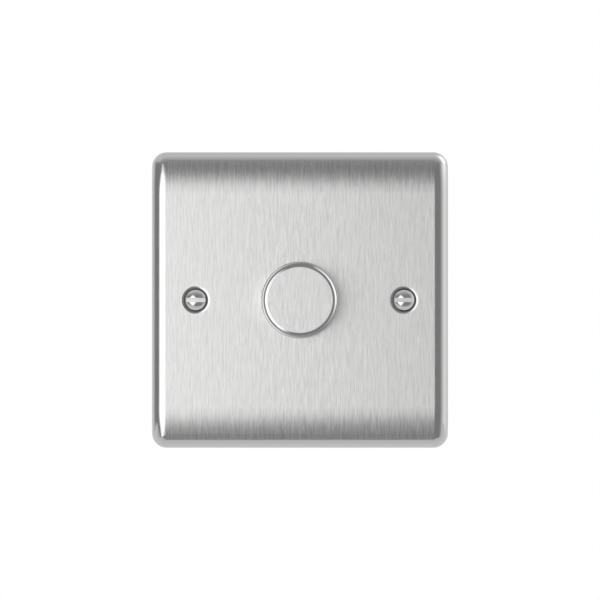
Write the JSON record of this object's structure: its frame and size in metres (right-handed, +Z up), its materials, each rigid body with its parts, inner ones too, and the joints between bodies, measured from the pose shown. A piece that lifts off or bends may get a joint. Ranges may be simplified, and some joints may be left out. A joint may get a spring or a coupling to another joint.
{
  "type": "dimmer switch",
  "caption": "Square metal wall plate with rolled edges, a push-and-turn knob at its centre, slotted fixing screws and the dimmer module behind it.",
  "frame": {"origin": "midway between the two fixing screws, in the wall's face where the plate's rim rests", "axes": "+X right and +Z up as the switch is seen on the wall, +Y into the wall along the fixing screws"},
  "size_m": [0.086, 0.0439, 0.086],
  "materials": {
    "plate_steel": "vertically brushed, satin",
    "knob_steel": "brushed face, polished groove and skirt",
    "polished_screw": "polished",
    "zinc_steel": "zinc plated",
    "spring_steel": "plain",
    "brass": "machined",
    "aluminium": "mill finish",
    "black_plastic": "fine moulded grain",
    "white_nylon": "smooth moulded",
    "board": "coated laminate",
    "laminate": "paper laminate",
    "ferrite": "coated powder core",
    "enamelled_copper": "enamelled wire",
    "yellow_case": "moulded box",
    "red_case": "dipped film",
    "resistor_coat": "lacquered",
    "diac_coat": "lacquered",
    "fuse_glass": "clear tube"
  },
  "bodies": {
    "root": {"face_plate": "plate_steel", "fixing_screw_left": "polished_screw", "fixing_screw_right": "polished_screw", "screw_retainer_left": "white_nylon", "screw_retainer_right": "white_nylon", "earth_terminal": "brass", "earth_screw": "brass", "threaded_bush": "brass", "lock_washer": "zinc_steel", "bush_nut": "zinc_steel", "pot_cover": "zinc_steel", "track_wafer": "laminate", "track_pins": "brass", "switch_body": "black_plastic", "fixed_contact_left": "brass", "fixed_contact_right": "brass", "latch_wire": "spring_steel", "return_spring": "spring_steel", "heat_sink": "aluminium", "housing": "black_plastic", "case_screw_1": "zinc_steel", "case_screw_2": "zinc_steel", "circuit_board": "board", "triac": "black_plastic", "triac_insulator": "white_nylon", "triac_screw": "zinc_steel", "choke_core": "ferrite", "choke_winding": "enamelled_copper", "suppression_capacitor": "yellow_case", "timing_capacitor": "red_case", "resistor_1": "resistor_coat", "resistor_2": "resistor_coat", "diac": "diac_coat", "fuse_glass": "fuse_glass", "fuse_caps": "zinc_steel", "fuse_clips": "zinc_steel", "terminal_common": "brass", "terminal_one_way": "brass", "terminal_two_way": "brass", "terminal_screw_common": "zinc_steel", "terminal_screw_one_way": "zinc_steel", "terminal_screw_two_way": "zinc_steel"},
    "plunger": {"switch_plunger": "white_nylon", "moving_contact": "brass"},
    "knob": {"knob_shell": "knob_steel", "knob_core": "black_plastic", "knob_grip_ring": "spring_steel", "shaft": "aluminium", "shaft_clip": "spring_steel"},
    "rotor": {"rotor": "white_nylon", "wiper": "brass"}
  },
  "joints": [
    {"name": "knob_push", "type": "slide", "parent": "root", "child": "plunger", "axis": [0, 1, 0], "range_m": [0, 0.0015], "stiffness_N_per_m": 1500, "springref_m": -0.0012, "deforming": ["return_spring"]},
    {"name": "knob_turn", "type": "hinge", "parent": "plunger", "child": "knob", "pos_m": [0, -0.015, 0], "axis": [0, 1, 0], "range_deg": [0, 300]},
    {"name": "rotor_turn", "type": "hinge", "parent": "root", "child": "rotor", "pos_m": [0, 0.001, 0], "axis": [0, 1, 0], "range_deg": [0, 300]}
  ],
  "couplings": [
    {"joint": "rotor_turn", "follows": "knob_turn", "ratio": 1}
  ]
}
